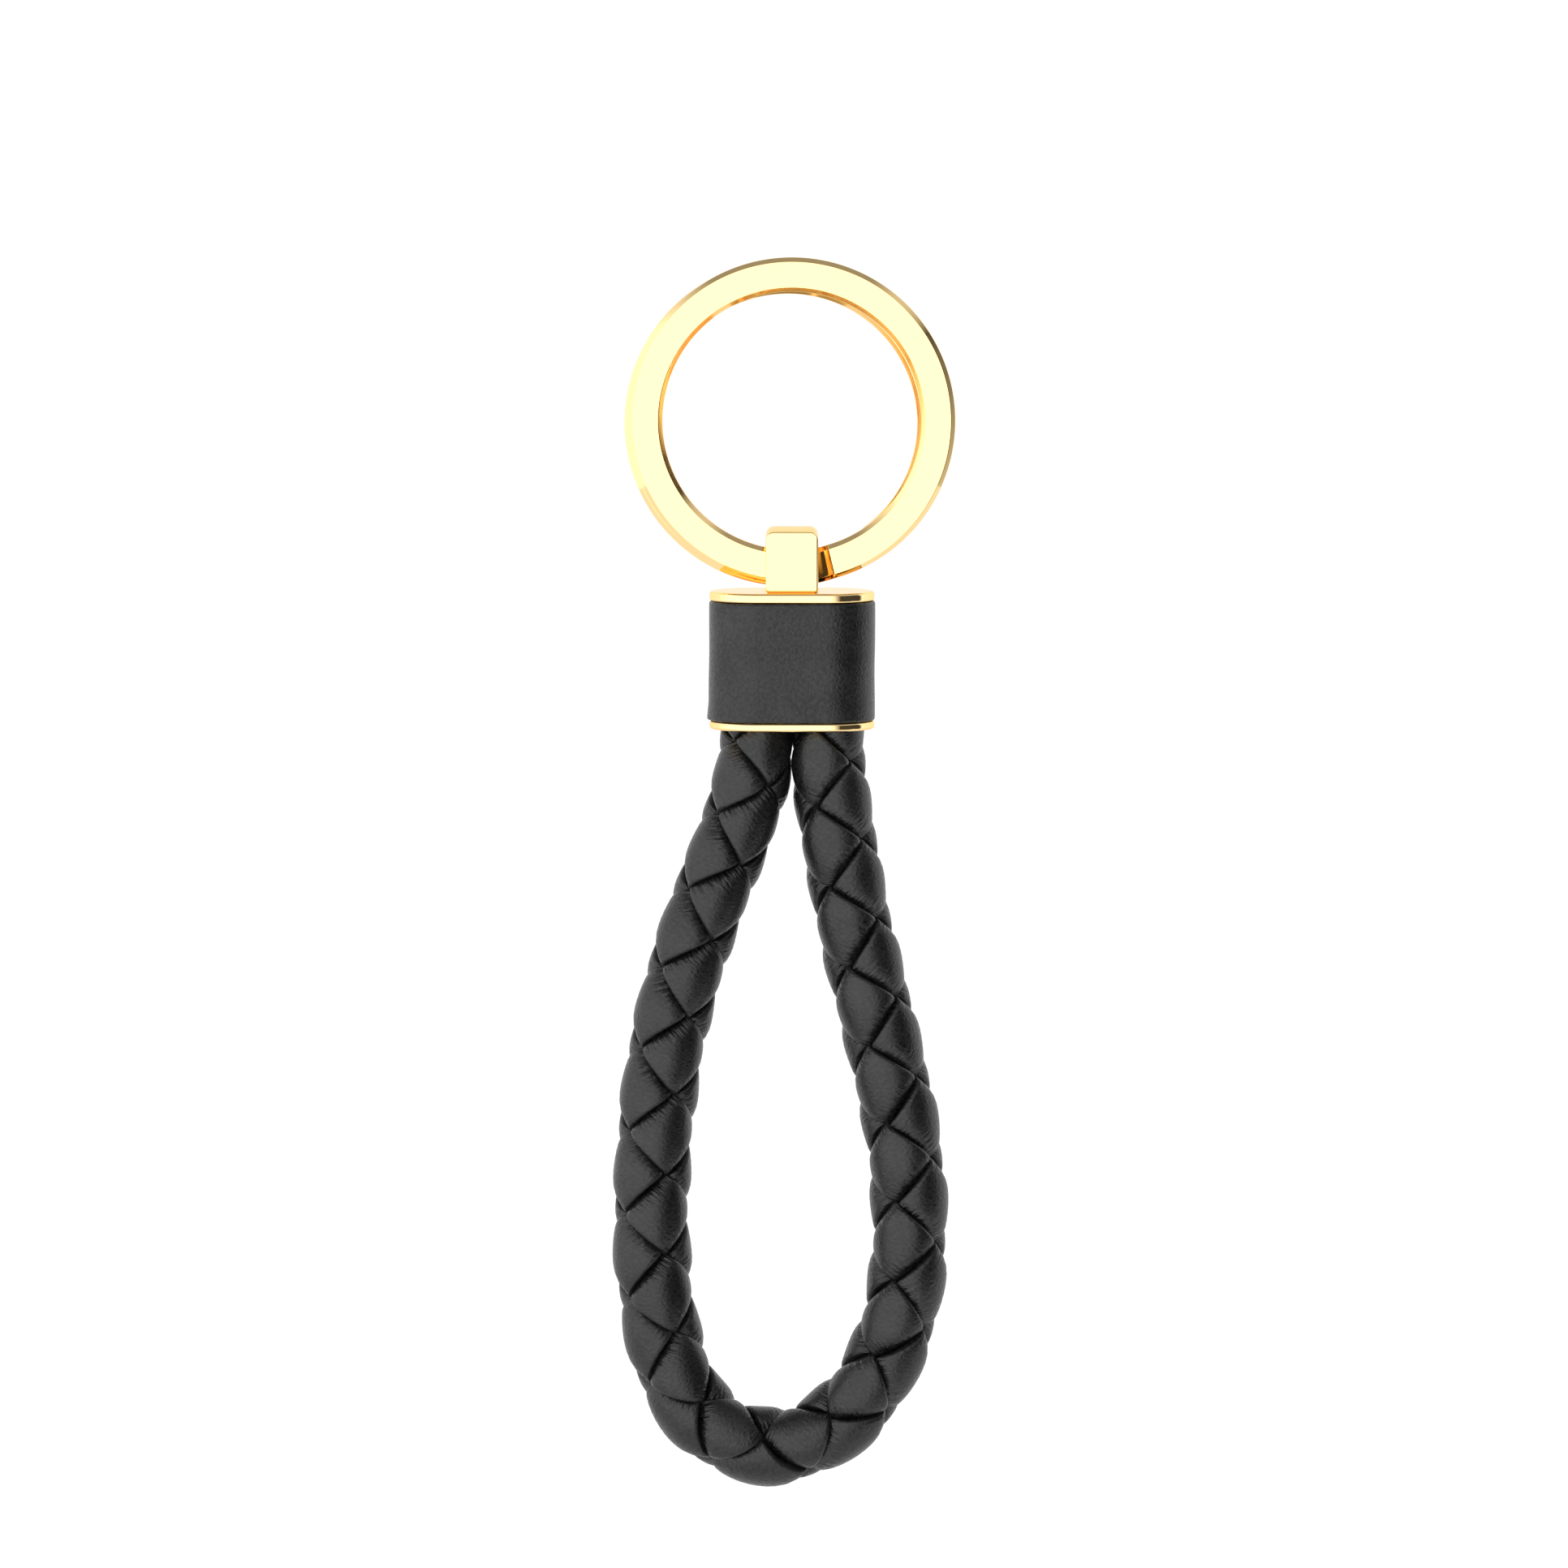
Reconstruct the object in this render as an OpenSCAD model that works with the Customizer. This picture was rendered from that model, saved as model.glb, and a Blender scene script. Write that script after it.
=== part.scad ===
// Wristlet keychain: a split ring, a swinging collar and a braided leather hand loop.
// The part hangs upright, front face towards -Y. The origin is the top of the ring's hole,
// where a hook or a finger carries the ring. Lengths are in millimetres.

/* [Split ring] */
// Outer diameter of the split ring
ring_od = 33; // [31:0.5:36]
// Radial width of the ring's band
band_w = 3.45; // [3:0.05:3.6]
// Thickness of both coils together
ring_t = 2.7; // [2.4:0.05:2.8]
// Corner rounding of each coil's outer face
band_round = 0.5; // [0.3:0.05:0.6]

/* [Collar] */
// Width of the collar
collar_w = 16.7; // [16:0.1:18]
// Depth of the collar, front to back
collar_d = 9.8; // [9.6:0.1:11]
// Height of the leather between the two rims
wrap_h = 12.1; // [10:0.1:16]
// Thickness of the leather wrap
wrap_t = 0.95; // [0.8:0.05:1]
// How far the leather stands proud of the rims
wrap_proud = 0.05; // [0:0.01:0.1]
// Height of the top cap's rim
cap_h = 1; // [0.8:0.1:1.5]
// Height of the bottom rim
rim_h = 0.85; // [0.6:0.05:1.5]
// Wall of the inner sleeve
sleeve_t = 0.5; // [0.4:0.05:0.5]

/* [Bail] */
// Width of the bail across the ring
bail_w = 5.3; // [4.5:0.1:6]
// Depth of the bail, front to back
bail_d = 7; // [7:0.05:7.4]
// Height of the bail above the cap
bail_h = 6.55; // [6.4:0.05:7.5]
// Thickness of the bail's front and back legs
bail_leg = 1.05; // [0.9:0.05:1.1]
// Thickness of the bail's top bar
bail_bar = 1.65; // [1.4:0.05:1.7]

/* [Cord] */
// Diameter of the braided cord in the loop
cord_d = 7.8; // [7:0.1:8]
// Diameter of the braided cord where the collar grips it
cord_grip_d = 6.6; // [6:0.1:6.6]
// Distance from the collar's middle to each leg of the cord
leg_x = 3.6; // [3.5:0.05:3.6]

/* [Hidden] */
$fn = 64;

gold = "gold";
black = "#2b2b2b";
eps = 0.01;

// Split ring: centre, radii and the two coils.
ring_ro = ring_od / 2;
ring_ri = ring_ro - band_w;
ring_mid = (ring_ro + ring_ri) / 2;
ring_z = -ring_ri;
coil_gap = 0.06;
coil_t = (ring_t - coil_gap) / 2;
// The wire steps from the rear coil to the front one over this arc, right of the bail.
step_at = -77.6;
step_half = 3.2;
front_end_gap = 0.4;
rear_end_at = -55;

// Heights of the collar's levels; the band stays clear of the cap as it turns.
band_clear = 0.75;
swing_z = ring_z - ring_mid;
cap_z = ring_z - ring_ro - band_clear;
wrap_z = cap_z - cap_h;
rim_z = wrap_z - wrap_h;
mouth_z = rim_z - rim_h;

// Inside of the sleeve, shared by the pieces that fill it.
wrap_gap = wrap_t - wrap_proud;
bore_w = collar_w - 2 * (wrap_gap + sleeve_t);
bore_d = collar_d - 2 * (wrap_gap + sleeve_t);
spigot_h = 0.8;
edge_c = 0.15;
rim_c = 0.3;
seam_w = 0.12;

// Bail tenons, which pass through slots in the cap and are peened flat below it.
tenon_w = 3.7;
tenon_t = 0.75;
tenon_y = bail_d / 2 - bail_leg / 2 - 0.1;
bail_round = 0.85;
bail_edge = 0.3;
foot_round = 0.4;

// Cord: the grip inside the collar, the whipping and the glue above it.
grip_r = cord_grip_d / 2;
neck_r = grip_r - 0.35;
whip_h = 3;
whip_low = 4.75;
cut_h = 1.2;
cord_top_z = mouth_z + whip_low + whip_h + cut_h;
glue_h = 3;

// The loop bends about an axis along X just under the mouth, and starts round about it.
flex_gap = 0.35;
flex_z = mouth_z - grip_r - flex_gap;
taper_l = 6;
cord_sides = 12;

// Route of the loop's centreline as x and z, down the left leg and up the right one.
ROUTE = [
    [-3.6, -47.9], [-4.4, -51], [-5.5, -54], [-6.7, -57.5], [-8.2, -60.9], [-9.6, -65],
    [-10.9, -69], [-12.1, -73.5], [-13, -78], [-13.7, -83], [-14.1, -88], [-14.3, -93],
    [-14.2, -98], [-13.7, -103.1], [-12.6, -108.2], [-10.8, -112.6], [-8.1, -115.6],
    [-5.1, -117.2], [-1.8, -117.7], [1.5, -117], [4.4, -115.3], [7.1, -112.6],
    [9.2, -109.1], [10.8, -105.1], [11.7, -100.5], [12, -96], [11.9, -91.5], [11.5, -87],
    [10.7, -82.5], [9.7, -78], [8.6, -73.5], [7.5, -69], [6.5, -65], [5.7, -61],
    [5.1, -57.5], [4.5, -54], [4, -51], [3.6, -47.9]
];

// A stadium outline: a bar with round ends.
module stadium(w, d) {
    square([w - d, d], center = true);
    for (s = [-1, 1])
        translate([s * (w - d) / 2, 0])
            circle(d = d);
}

// A stadium-shaped plate of height h with both outer edges chamfered by c.
module stadium_plate(w, d, h, c) {
    r = d / 2;
    side = [[r - c, 0], [r, c], [r, h - c], [r - c, h]];
    across = concat(side, [for (i = [3:-1:0]) [-side[i][0], side[i][1]]]);
    for (s = [-1, 1])
        translate([s * (w - d) / 2, 0, 0])
            rotate_extrude()
                polygon(concat([[0, 0]], side, [[0, h]]));
    rotate([90, 0, 90])
        translate([0, 0, -(w - d) / 2])
            linear_extrude(w - d)
                polygon(across);
}

// Section of one coil: radial by thickness, with its outward face's corners rounded.
function coil_section() = concat(
    [[ring_ri, 0], [ring_ro, 0]],
    [for (a = [0:30:90])
        [ring_ro - band_round + band_round * cos(a), coil_t - band_round + band_round * sin(a)]],
    [for (a = [90:30:180])
        [ring_ri + band_round + band_round * cos(a), coil_t - band_round + band_round * sin(a)]]
);

// One coil from angle a0 over span, standing on z = 0 of its own plane.
module coil(a0, span) {
    rotate([0, 0, a0])
        rotate_extrude(angle = span)
            polygon(coil_section());
}

// The short sloping stretch of wire that joins the rear coil to the front one.
module coil_step() {
    run = ring_mid * sin(step_half) - 0.1;
    lap = 0.22;
    lo = coil_gap / 2 + eps;
    hi = ring_t / 2 - eps;
    rotate([0, 0, step_at])
        translate([ring_ri + 0.1, 0, 0])
            rotate([90, 0, 90])
                linear_extrude(band_w - 0.2)
                    polygon([[-run - lap, -lo], [-run, -lo], [run, hi], [run + lap, hi],
                        [run + lap, lo], [run, lo], [-run, -hi], [-run - lap, -hi]]);
}

module split_ring() {
    front_at = step_at + step_half;
    rear_to = step_at - step_half + 360;
    color(gold)
        translate([0, 0, ring_z])
            rotate([90, 0, 0]) {
                translate([0, 0, coil_gap / 2])
                    coil(front_at, 360 - 2 * step_half - front_end_gap);
                mirror([0, 0, 1])
                    translate([0, 0, coil_gap / 2])
                        coil(rear_end_at, rear_to - rear_end_at);
                coil_step();
            }
}

// A rectangle whose top corners are rounded by rt and whose foot corners by rf.
module rounded_bar(w, h, rt, rf) {
    polygon(concat(
        [for (a = [0:15:90]) [w / 2 - rt + rt * cos(a), h - rt + rt * sin(a)]],
        [for (a = [90:15:180]) [-w / 2 + rt + rt * cos(a), h - rt + rt * sin(a)]],
        [for (a = [180:30:270]) [-w / 2 + rf + rf * cos(a), rf + rf * sin(a)]],
        [for (a = [270:30:360]) [w / 2 - rf + rf * cos(a), rf + rf * sin(a)]]
    ));
}

module bail() {
    slot_w = bail_d - 2 * bail_leg;
    slot_h = bail_h - bail_bar;
    color(gold)
        translate([0, 0, cap_z]) {
            intersection() {
                rotate([90, 0, 90])
                    translate([0, 0, -bail_w / 2])
                        linear_extrude(bail_w)
                            difference() {
                                rounded_bar(bail_d, bail_h, bail_edge, eps);
                                translate([0, -1])
                                    rounded_bar(slot_w, slot_h + 1, bail_edge, eps);
                            }
                rotate([90, 0, 0])
                    translate([0, 0, -bail_d])
                        linear_extrude(2 * bail_d)
                            rounded_bar(bail_w, bail_h, bail_round, foot_round);
            }
            for (s = [-1, 1])
                translate([-tenon_w / 2, s * tenon_y - tenon_t / 2, -cap_h - spigot_h])
                    cube([tenon_w, tenon_t, cap_h + spigot_h + 0.5]);
        }
}

module top_cap() {
    color(gold)
        difference() {
            union() {
                translate([0, 0, wrap_z])
                    stadium_plate(collar_w, collar_d, cap_h, rim_c);
                translate([0, 0, wrap_z - spigot_h])
                    linear_extrude(spigot_h + eps)
                        stadium(bore_w, bore_d);
            }
            for (s = [-1, 1])
                translate([-tenon_w / 2, s * tenon_y - tenon_t / 2, wrap_z - 2])
                    cube([tenon_w, tenon_t, 4]);
        }
}

module inner_sleeve() {
    color("darkgoldenrod")
        translate([0, 0, rim_z])
            linear_extrude(wrap_h)
                difference() {
                    stadium(bore_w + 2 * sleeve_t, bore_d + 2 * sleeve_t);
                    stadium(bore_w, bore_d);
                }
}

// The strip of leather glued round the sleeve, its two ends butted at the back.
module leather_wrap() {
    color(black)
        translate([0, 0, rim_z])
            difference() {
                stadium_plate(collar_w + 2 * wrap_proud, collar_d + 2 * wrap_proud, wrap_h,
                    edge_c);
                translate([0, 0, -1])
                    linear_extrude(wrap_h + 2)
                        stadium(bore_w + 2 * sleeve_t, bore_d + 2 * sleeve_t);
                translate([-seam_w / 2, 0, -1])
                    cube([seam_w, collar_d, wrap_h + 2]);
            }
}

module bottom_rim() {
    color(gold)
        translate([0, 0, mouth_z])
            difference() {
                stadium_plate(collar_w, collar_d, rim_h, rim_c);
                translate([0, 0, -1])
                    linear_extrude(rim_h + 2)
                        stadium(bore_w, bore_d);
            }
}

// The cord's end in the collar: a grip, a neck under the whipping and the cut end.
module cord_end(s) {
    color(black)
        translate([s * leg_x, 0, mouth_z]) {
            cylinder(h = whip_low, r = grip_r);
            cylinder(h = whip_low + whip_h + eps, r = neck_r);
            translate([0, 0, whip_low + whip_h])
                cylinder(h = cut_h, r = grip_r);
        }
}

module whipping(s) {
    color("dimgray")
        translate([s * leg_x, 0, mouth_z + whip_low])
            difference() {
                cylinder(h = whip_h, r = grip_r);
                translate([0, 0, -1])
                    cylinder(h = whip_h + 2, r = neck_r);
            }
}

module cord_end_left() cord_end(-1);
module cord_end_right() cord_end(1);
module whipping_left() whipping(-1);
module whipping_right() whipping(1);

// The adhesive that sets above the cord ends and locks them in the sleeve.
module glue_plug() {
    color("wheat")
        translate([0, 0, cord_top_z])
            linear_extrude(glue_h)
                stadium(bore_w, bore_d);
}

// Tube radius at height z: narrow at the mouth, full size a little way down.
function smooth(t) = t * t * (3 - 2 * t);
function clamp01(t) = max(0, min(1, t));
function tube_r(z) = grip_r + (cord_d / 2 - grip_r) * smooth(clamp01((flex_z - z) / taper_l));

// Stations of the tube as [x, z, flatness]; each leg's top is rounded about the bend axis.
TOP_ANGLES = [82, 60, 40, 20];
function leg_top(s) = [for (a = TOP_ANGLES) [s * leg_x, flex_z + grip_r * sin(a), cos(a)]];
function backwards(v) = [for (i = [len(v) - 1:-1:0]) v[i]];
STATIONS = concat(leg_top(-1), [for (p = ROUTE) [p[0], p[1], 1]], backwards(leg_top(1)));

// Unit direction of the route at station i.
function run_at(i) =
    let(a = STATIONS[max(i - 1, 0)], b = STATIONS[min(i + 1, len(STATIONS) - 1)],
        d = [b[0] - a[0], b[1] - a[1]])
    d / norm(d);

// Ring of points round station i, across the route in the XZ plane and along Y.
function ring_at(i) =
    let(s = STATIONS[i], t = run_at(i), r = tube_r(s[1]))
    [for (k = [0:cord_sides - 1])
        let(a = 360 * k / cord_sides)
        [s[0] - t[1] * r * cos(a), r * s[2] * sin(a), s[1] + t[0] * r * cos(a)]];

module braided_loop() {
    n = len(STATIONS);
    m = cord_sides;
    points = [for (i = [0:n - 1]) each ring_at(i)];
    walls = [for (i = [0:n - 2]) for (k = [0:m - 1])
        [i * m + k, i * m + (k + 1) % m, (i + 1) * m + (k + 1) % m, (i + 1) * m + k]];
    start = [for (k = [m - 1:-1:0]) k];
    finish = [for (k = [0:m - 1]) (n - 1) * m + k];
    color(black)
        polyhedron(points, concat(walls, [start, finish]), convexity = 6);
}

split_ring();
bail();
top_cap();
inner_sleeve();
leather_wrap();
bottom_rim();
cord_end_left();
cord_end_right();
whipping_left();
whipping_right();
glue_plug();
braided_loop();
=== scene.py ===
# %% [markdown]
# # A wristlet keychain
# The object is a split ring that swings in a bail, a collar wrapped in leather, and a hand loop
# of four braided leather strands. The sizes and the joints come from a CAD model that is already
# packed. This script builds the surfaces that the eye sees: bevelled metal, grained leather and
# the braid. It works in metres, with +Z up and the front towards -Y.

# %% Load the frame
import math

import bmesh
import bpy
import numpy as np
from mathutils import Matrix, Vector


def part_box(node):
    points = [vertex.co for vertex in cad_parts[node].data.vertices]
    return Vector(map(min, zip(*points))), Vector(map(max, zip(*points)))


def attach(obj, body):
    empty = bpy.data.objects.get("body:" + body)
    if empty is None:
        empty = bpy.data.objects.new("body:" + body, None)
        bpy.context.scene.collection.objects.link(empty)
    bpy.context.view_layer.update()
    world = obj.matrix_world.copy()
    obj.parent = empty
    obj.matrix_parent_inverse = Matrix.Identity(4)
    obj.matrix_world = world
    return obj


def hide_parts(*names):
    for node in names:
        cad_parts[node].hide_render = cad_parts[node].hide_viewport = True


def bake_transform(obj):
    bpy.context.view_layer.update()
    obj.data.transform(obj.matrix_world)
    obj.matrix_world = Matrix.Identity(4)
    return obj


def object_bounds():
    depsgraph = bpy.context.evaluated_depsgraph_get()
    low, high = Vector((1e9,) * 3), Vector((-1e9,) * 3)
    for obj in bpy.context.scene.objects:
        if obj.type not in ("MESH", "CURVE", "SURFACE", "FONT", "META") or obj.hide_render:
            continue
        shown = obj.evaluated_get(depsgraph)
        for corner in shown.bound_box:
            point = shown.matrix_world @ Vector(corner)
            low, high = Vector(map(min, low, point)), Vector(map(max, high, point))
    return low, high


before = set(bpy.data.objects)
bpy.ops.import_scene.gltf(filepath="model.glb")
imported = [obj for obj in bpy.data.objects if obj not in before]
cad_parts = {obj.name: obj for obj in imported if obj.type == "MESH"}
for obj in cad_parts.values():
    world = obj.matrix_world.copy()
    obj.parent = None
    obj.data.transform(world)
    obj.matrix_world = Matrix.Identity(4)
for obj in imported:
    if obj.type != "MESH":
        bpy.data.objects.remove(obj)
CAD_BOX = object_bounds()
MM = 0.001
print("CAD box:", [np.round(corner, 4).tolist() for corner in CAD_BOX])

# %% [markdown]
# ## Camera
# A long lens from a metre and a half keeps the ring round and the loop flat. A shorter lens
# would make the ring look too large for the loop. The eye stands about five degrees above the
# level, which is why the cap shows a sliver of its polished top. The aim is a point on the plane
# of the loop, so the framing needs no lens shift.

# %% Camera
EYE_DISTANCE = 1.5
EYE_RISE = math.radians(4.9)
VIEW_WIDTH = 0.1586
AIM = (-0.0008, 0.0, -0.0499)

camera = bpy.data.objects.new("camera", bpy.data.cameras.new("camera"))
camera.data.sensor_width = 36
camera.data.lens = camera.data.sensor_width * EYE_DISTANCE / VIEW_WIDTH
camera.data.clip_start = 0.01
camera.location = (AIM[0], -EYE_DISTANCE * math.cos(EYE_RISE),
                   AIM[2] + EYE_DISTANCE * math.sin(EYE_RISE))
camera.rotation_euler = (math.pi / 2 - EYE_RISE, 0, 0)
bpy.context.scene.collection.objects.link(camera)
bpy.context.scene.camera = camera
print("camera:", round(camera.data.lens, 1), "mm lens")

# %% [markdown]
# ## Grid surfaces
# Every new piece here is a grid of points: one direction runs along the piece, the other round
# its section. Numpy works out all the points at once, and this helper joins them into quads.
# A closed section wraps round to its first column. Ends are closed with a single flat face.
# The sign of the enclosed volume tells whether the faces point outwards, and they are turned
# round if they don't.

# %% Grid helper
def grid_faces(rows, columns, wrap_rows, wrap_columns):
    """Corner indices of the quads between neighbouring rows and columns of a grid of points."""
    row = np.arange(rows if wrap_rows else rows - 1)[:, None]
    column = np.arange(columns if wrap_columns else columns - 1)[None, :]
    next_row, next_column = (row + 1) % rows, (column + 1) % columns
    corners = [row * columns + column, row * columns + next_column,
               next_row * columns + next_column, next_row * columns + column]
    return np.stack(np.broadcast_arrays(*corners), axis=-1).reshape(-1, 4)


def enclosed_volume(points, quads):
    """Sum of the signed tetrahedra from the origin to each quad's two triangles."""
    a, b, c, d = (points[quads[:, k]] for k in range(4))
    return float((np.cross(a, b) * c + np.cross(a, c) * d).sum() / 6)


def grid_piece(name, points, wrap_rows=False, wrap_columns=True, capped=True, uv=None):
    """Mesh object from points of shape (rows, columns, 3), with its faces turned outwards."""
    rows, columns = points.shape[:2]
    flat = np.ascontiguousarray(points.reshape(-1, 3))
    quads = grid_faces(rows, columns, wrap_rows, wrap_columns)
    centred = flat - flat.mean(axis=0)
    inside_out = enclosed_volume(centred, quads) < 0
    faces = (quads[:, ::-1] if inside_out else quads).tolist()
    if capped and not wrap_rows:
        first, last = list(range(columns)), list(range((rows - 1) * columns, rows * columns))
        faces += [first, last[::-1]] if inside_out else [first[::-1], last]
    mesh = bpy.data.meshes.new(name)
    mesh.from_pydata(flat.tolist(), [], faces)
    smooth = np.ones(len(mesh.polygons), bool)
    smooth[len(quads):] = False
    mesh.polygons.foreach_set("use_smooth", smooth)
    if uv is not None:
        corner_of = np.empty(len(mesh.loops), np.int32)
        mesh.loops.foreach_get("vertex_index", corner_of)
        layer = mesh.uv_layers.new(name="along_and_across")
        layer.data.foreach_set("uv", uv.reshape(-1, 2)[corner_of].ravel().astype(np.float32))
    piece = bpy.data.objects.new(name, mesh)
    bpy.context.scene.collection.objects.link(piece)
    print(f"{name}: {len(flat)} points, {len(faces)} faces")
    return piece


def smoothstep(value, low, high):
    """Rises from 0 at low to 1 at high, level at both ends: t * t * (3 - 2 * t)."""
    t = np.clip((value - low) / (high - low), 0, 1)
    return t * t * (3 - 2 * t)


# %% [markdown]
# ## The route of the cord
# The braid leaves the collar, runs down the left leg, round the bottom and up the right leg.
# A stiff braid keeps a wide, slightly lopsided drop. The points below are the same route that
# the CAD tube follows. They are joined by straight lines, resampled at equal steps and averaged
# with a bell curve, which rounds the corners and leaves the shape alone.

# %% Route
RIM_BOX, CAP_BOX, WRAP_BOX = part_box("bottom_rim"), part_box("top_cap"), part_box("leather_wrap")
MOUTH_Z = RIM_BOX[0][2]
LEG_X = 0.0036
GRIP_LENGTH = 0.0065
ROUTE = [
    (-0.0036, -0.0479), (-0.0044, -0.051), (-0.0055, -0.054), (-0.0067, -0.0575),
    (-0.0082, -0.0609), (-0.0096, -0.065), (-0.0109, -0.069), (-0.0121, -0.0735),
    (-0.013, -0.078), (-0.0137, -0.083), (-0.0141, -0.088), (-0.0143, -0.093),
    (-0.0142, -0.098), (-0.0137, -0.1031), (-0.0126, -0.1082), (-0.0108, -0.1126),
    (-0.0081, -0.1156), (-0.0051, -0.1172), (-0.0018, -0.1177), (0.0015, -0.117),
    (0.0044, -0.1153), (0.0071, -0.1126), (0.0092, -0.1091), (0.0108, -0.1051),
    (0.0117, -0.1005), (0.012, -0.096), (0.0119, -0.0915), (0.0115, -0.087), (0.0107, -0.0825),
    (0.0097, -0.078), (0.0086, -0.0735), (0.0075, -0.069), (0.0065, -0.065), (0.0057, -0.061),
    (0.0051, -0.0575), (0.0045, -0.054), (0.004, -0.051), (0.0036, -0.0479),
]
ROUTE_STEP = 0.25 * MM
ROUTE_SOFTNESS = 2 * MM
BELL_REACH = 3


def smooth_route(points, step, softness):
    """Points at equal steps on straight lines, averaged with weights exp(-(d / softness)^2 / 2)."""
    along = np.concatenate([[0], np.cumsum(np.linalg.norm(np.diff(points, axis=0), axis=1))])
    at = np.linspace(0, along[-1], round(along[-1] / step) + 1)
    line = np.stack([np.interp(at, along, points[:, k]) for k in range(2)], axis=1)
    reach = round(BELL_REACH * softness / step)
    bell = np.exp(-0.5 * (np.arange(-reach, reach + 1) * step / softness) ** 2)
    before = line[0] + (line[0] - line[1]) * np.arange(reach, 0, -1)[:, None]
    after = line[-1] + (line[-1] - line[-2]) * np.arange(1, reach + 1)[:, None]
    padded = np.concatenate([before, line, after])
    return np.stack([np.convolve(padded[:, k], bell / bell.sum(), "valid")
                     for k in range(2)], axis=1)


top = MOUTH_Z + GRIP_LENGTH
corners = np.array([(-LEG_X, top), *ROUTE, (LEG_X, top)])
line = smooth_route(corners, ROUTE_STEP, ROUTE_SOFTNESS)
line_at = np.concatenate([[0], np.cumsum(np.linalg.norm(np.diff(line, axis=0), axis=1))])
heading = np.gradient(line, line_at, axis=0)
heading /= np.linalg.norm(heading, axis=1)[:, None]
outward = np.stack([heading[:, 1], -heading[:, 0]], axis=1)
CORD_LENGTH = float(line_at[-1])
print("cord length:", round(CORD_LENGTH, 4), "m")

# %% [markdown]
# ## The braid
# Four flat strands make a round braid: two wind one way, two the other, and each passes over
# one and under the next. On the unrolled cord the strands are the lines of a diamond lattice.
# One lattice axis follows the first pair of strands, the other follows the second pair. A point
# (a, b) of the lattice sits at the turn (a + b) * 90 degrees and at the distance
# (b - a) * pitch / 4 along the cord. The radius rises where a strand is on top and falls where
# it dives. Simulating the braid would give the same form far more slowly, and the lattice keeps
# the facets in two neat columns along the front, as a real braid has them.

# %% Braid sizes
BRAID_PITCH = 16.5 * MM
BRAID_LEAD = math.radians(135)
BRAID_START = -0.6 * MM
LEAN_ENDS, LEAN_MIDDLE = math.radians(6), math.radians(18)
STRAND_RISE = 1.12 * MM
STRAND_HALF_THICK = 0.65 * MM
STRAND_HALF_WIDTH = 3.0 * MM
STRAND_CORNER = 0.36 * MM
STRAND_MID_RADIUS = 2.36 * MM
STRAND_COVER = 0.98
EDGE_DROOP = 0.3 * MM
EDGE_SHINGLE = 0.2 * MM
FLOAT_TURN = 0.045
DIVE_SHARPNESS = 1.9
GRIP_SQUEEZE = 0.96
SQUEEZE_OUT = 4 * MM
WIDTH_UNEVEN, PLACE_UNEVEN, THICK_UNEVEN = 0.02, 0.012, 0.04
TUCK_AT, TUCK_REACH = 0.52, 0.17
UV_STRAND_APART = 40
RINGS_PER_CELL = 13
CORNER_STEPS, FACE_STEPS, BACK_STEPS = 5, 13, 5


def cord_point(along, turn, radius):
    """Point at that distance along the route, turned from its outward side towards the front."""
    x, z, out_x, out_z = (np.interp(along, line_at, v) for v in (*line.T, *outward.T))
    side, front = radius * np.cos(turn), radius * np.sin(turn)
    return np.stack([x + side * out_x, -front, z + side * out_z], axis=-1)


def squeeze(along):
    """Scale of the cord's section: small where the collar grips it, 1 further down each leg."""
    from_mouth = np.minimum(along, CORD_LENGTH - along) - GRIP_LENGTH
    return GRIP_SQUEEZE + (1 - GRIP_SQUEEZE) * smoothstep(from_mouth, 0, SQUEEZE_OUT)


def wander(u, seed):
    """Slow unevenness along a strand: a sum of five sines with seeded phases, about -1 to 1."""
    draw = np.random.default_rng(seed)
    waves = draw.uniform(0.4, 2.2, 5)
    phases = draw.uniform(0, 2 * math.pi, 5)
    return np.sin(u[..., None] * waves + phases).sum(axis=-1) / 3


def strand_section():
    """Flat bar with round corners, many points on its outer face; both axes run from -1 to 1."""
    w, t, r = (v / STRAND_HALF_WIDTH for v in (STRAND_HALF_WIDTH, STRAND_HALF_THICK, STRAND_CORNER))
    arc = np.linspace(0, math.pi / 2, CORNER_STEPS)
    face = np.linspace(-(w - r), w - r, FACE_STEPS)[1:-1]
    back = np.linspace(w - r, -(w - r), BACK_STEPS)[1:-1]
    x = np.concatenate([-(w - r) - r * np.cos(arc), face, w - r + r * np.sin(arc),
                        w - r + r * np.cos(arc), back, -(w - r) - r * np.sin(arc)])
    y = np.concatenate([t - r + r * np.sin(arc), np.full_like(face, t), t - r + r * np.cos(arc),
                        -(t - r) - r * np.sin(arc), np.full_like(back, -t),
                        -(t - r) - r * np.cos(arc)])
    return x[None, :], y[None, :] / t


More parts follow.
